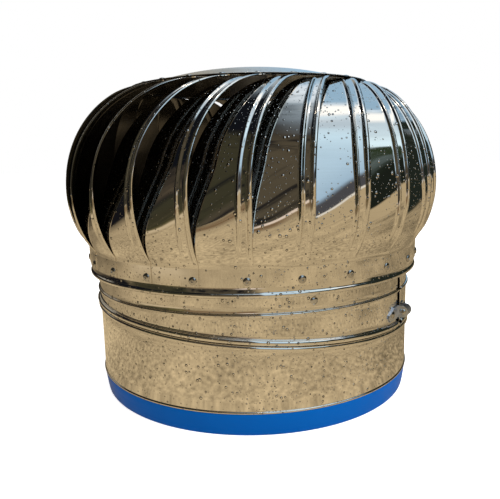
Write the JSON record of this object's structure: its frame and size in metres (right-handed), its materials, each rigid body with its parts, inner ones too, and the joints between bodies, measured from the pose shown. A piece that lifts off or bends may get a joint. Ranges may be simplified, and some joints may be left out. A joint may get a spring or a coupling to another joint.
{
  "type": "turbine roof ventilator",
  "caption": "Wind-driven turbine cap with louvred vanes on a split variable-pitch throat, ball bearings and a duct collar.",
  "frame": {"origin": "centre of the foot of the base collar, at the bottom of the whole part", "axes": "+Z is the rotor's spin axis, upwards; -Y faces the viewer in the picture; +X is to the viewer's right"},
  "size_m": [0.348, 0.348, 0.2974],
  "materials": {
    "mirror_steel": "mirror-polished stainless sheet",
    "blue_collar": "glossy moulded blue",
    "zinc_plate": "zinc-plated steel",
    "fastener_steel": "bright fasteners",
    "bearing_steel": "ground bearing steel",
    "brass_cage": "pressed brass"
  },
  "bodies": {
    "base": {"base_collar": "blue_collar", "lower_throat": "mirror_steel"},
    "neck": {"bearing_spacer": "bearing_steel", "brace_rivets": "bearing_steel", "clamp_ear_back": "zinc_plate", "clamp_ear_front": "zinc_plate", "clamp_ear_rivets": "fastener_steel", "clamp_nut": "fastener_steel", "clamp_screw": "fastener_steel", "lock_nut": "fastener_steel", "lower_bearing_inner_race": "bearing_steel", "lower_brace": "zinc_plate", "shaft": "bearing_steel", "shaft_nuts": "fastener_steel", "shaft_washers": "fastener_steel", "upper_bearing_inner_race": "bearing_steel", "upper_brace": "zinc_plate", "upper_throat": "mirror_steel"},
    "lower_cage": {"lower_bearing_cage": "brass_cage", "lower_bearing_balls": "bearing_steel"},
    "upper_cage": {"upper_bearing_cage": "brass_cage", "upper_bearing_balls": "bearing_steel"},
    "rotor": {"vane_01": "mirror_steel", "vane_02": "mirror_steel", "vane_03": "mirror_steel", "vane_04": "mirror_steel", "vane_05": "mirror_steel", "vane_06": "mirror_steel", "vane_07": "mirror_steel", "vane_08": "mirror_steel", "vane_09": "mirror_steel", "vane_10": "mirror_steel", "vane_11": "mirror_steel", "vane_12": "mirror_steel", "vane_13": "mirror_steel", "vane_14": "mirror_steel", "vane_15": "mirror_steel", "vane_16": "mirror_steel", "vane_17": "mirror_steel", "vane_18": "mirror_steel", "vane_19": "mirror_steel", "vane_20": "mirror_steel", "vane_21": "mirror_steel", "vane_22": "mirror_steel", "vane_23": "mirror_steel", "vane_24": "mirror_steel", "vane_lower_rivets": "fastener_steel", "vane_upper_rivets": "fastener_steel", "rotor_ring": "mirror_steel", "ring_spider": "zinc_plate", "lower_bearing_housing": "zinc_plate", "upper_bearing_housing": "zinc_plate", "housing_rivets": "fastener_steel", "lower_bearing_outer_race": "bearing_steel", "upper_bearing_outer_race": "bearing_steel", "top_plate": "mirror_steel", "centre_cap": "mirror_steel"}
  },
  "joints": [
    {"name": "pitch_swivel", "type": "hinge", "parent": "base", "child": "neck", "pos_m": [0, 0, 0.075], "axis": [0.0715, 0, 0.9974], "range_deg": [-180, 180]},
    {"name": "rotor_spin", "type": "hinge", "parent": "neck", "child": "rotor", "pos_m": [0, 0, 0.2], "axis": [0, 0, 1], "continuous": true},
    {"name": "lower_cage_spin", "type": "hinge", "parent": "neck", "child": "lower_cage", "pos_m": [0, 0, 0.139], "axis": [0, 0, 1], "continuous": true},
    {"name": "upper_cage_spin", "type": "hinge", "parent": "neck", "child": "upper_cage", "pos_m": [0, 0, 0.273], "axis": [0, 0, 1], "continuous": true}
  ],
  "couplings": [
    {"joint": "lower_cage_spin", "follows": "rotor_spin", "ratio": 0.6341},
    {"joint": "upper_cage_spin", "follows": "rotor_spin", "ratio": 0.62}
  ]
}
